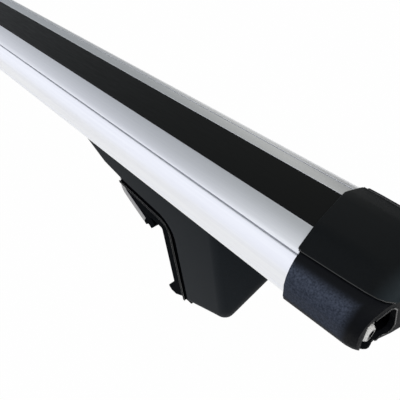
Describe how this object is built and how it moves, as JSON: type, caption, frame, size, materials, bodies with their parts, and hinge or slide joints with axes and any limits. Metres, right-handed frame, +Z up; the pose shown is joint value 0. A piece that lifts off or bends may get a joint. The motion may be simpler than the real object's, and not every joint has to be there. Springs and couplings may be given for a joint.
{
  "type": "roof rack crossbar",
  "caption": "Aluminium roof rack crossbar for raised rails, with a rubber-topped wing profile, lockable plastic end caps and arched clamp feet whose claws are drawn in by long bolts.",
  "frame": {"origin": "middle of the bar's length and width, at ground height under the feet's toes", "axes": "+X along the bar towards the pictured end, -Y the side of the key locks, +Z up"},
  "size_m": [1.2, 0.067, 0.1148],
  "materials": {
    "bar_aluminium": "anodised, satin, fine extrusion lines",
    "strip_rubber": "ribbed matte",
    "cap_lid": "smooth satin",
    "cap_tray": "fine spark-eroded grain",
    "foot_plastic": "fine grain",
    "frame_plastic": "satin",
    "cast_arm": "as cast",
    "pad_rubber": "matte",
    "claw_metal": "zinc plated",
    "carriage_plastic": "moulded",
    "zinc_steel": "zinc plated",
    "lock_zinc": "die cast",
    "lock_chrome": "polished"
  },
  "bodies": {
    "rack": {"bar_extrusion": "bar_aluminium", "top_strip": "strip_rubber", "end_cap_upper_right": "cap_lid", "end_cap_lower_right": "cap_tray", "cap_screws_right": "zinc_steel", "lock_body_right": "lock_zinc", "thrust_plate_right": "zinc_steel", "bolt_washer_right": "zinc_steel", "foot_housing_right": "foot_plastic", "foot_arm_right": "cast_arm", "arch_frame_right": "frame_plastic", "rail_pad_right": "pad_rubber", "foot_bolts_right": "zinc_steel", "slot_plate_right": "zinc_steel", "end_cap_upper_left": "cap_lid", "end_cap_lower_left": "cap_tray", "cap_screws_left": "zinc_steel", "lock_body_left": "lock_zinc", "thrust_plate_left": "zinc_steel", "bolt_washer_left": "zinc_steel", "foot_housing_left": "foot_plastic", "foot_arm_left": "cast_arm", "arch_frame_left": "frame_plastic", "rail_pad_left": "pad_rubber", "foot_bolts_left": "zinc_steel", "slot_plate_left": "zinc_steel"},
    "key_right": {"lock_plug_right": "lock_chrome", "lock_cam_right": "lock_zinc"},
    "screw_right": {"clamp_bolt_right": "zinc_steel", "bolt_clip_right": "zinc_steel"},
    "clamp_right": {"clamp_nut_right": "zinc_steel", "claw_carriage_right": "carriage_plastic", "claw_right": "claw_metal", "claw_pad_right": "pad_rubber"},
    "key_left": {"lock_plug_left": "lock_chrome", "lock_cam_left": "lock_zinc"},
    "screw_left": {"clamp_bolt_left": "zinc_steel", "bolt_clip_left": "zinc_steel"},
    "clamp_left": {"clamp_nut_left": "zinc_steel", "claw_carriage_left": "carriage_plastic", "claw_left": "claw_metal", "claw_pad_left": "pad_rubber"}
  },
  "joints": [
    {"name": "clamp_bolt_turn_right", "type": "hinge", "parent": "rack", "child": "screw_right", "pos_m": [0.557, 0, 0.0964], "axis": [1, 0, 0], "range_deg": [-2881, 7201]},
    {"name": "claw_slide_right", "type": "slide", "parent": "rack", "child": "clamp_right", "axis": [-1, 0, 0], "range_m": [-0.00801, 0.02001]},
    {"name": "lock_turn_right", "type": "hinge", "parent": "rack", "child": "key_right", "pos_m": [0.587, -0.024, 0.0962], "axis": [1, 0, 0], "range_deg": [0, 90]},
    {"name": "clamp_bolt_turn_left", "type": "hinge", "parent": "rack", "child": "screw_left", "pos_m": [-0.557, 0, 0.0964], "axis": [-1, 0, 0], "range_deg": [-2881, 7201]},
    {"name": "claw_slide_left", "type": "slide", "parent": "rack", "child": "clamp_left", "axis": [1, 0, 0], "range_m": [-0.00801, 0.02001]},
    {"name": "lock_turn_left", "type": "hinge", "parent": "rack", "child": "key_left", "pos_m": [-0.587, -0.024, 0.0962], "axis": [-1, 0, 0], "range_deg": [-90, 0]}
  ],
  "couplings": [
    {"joint": "clamp_bolt_turn_right", "follows": "claw_slide_right", "rad_per_m": 6283.2},
    {"joint": "clamp_bolt_turn_left", "follows": "claw_slide_left", "rad_per_m": 6283.2}
  ]
}
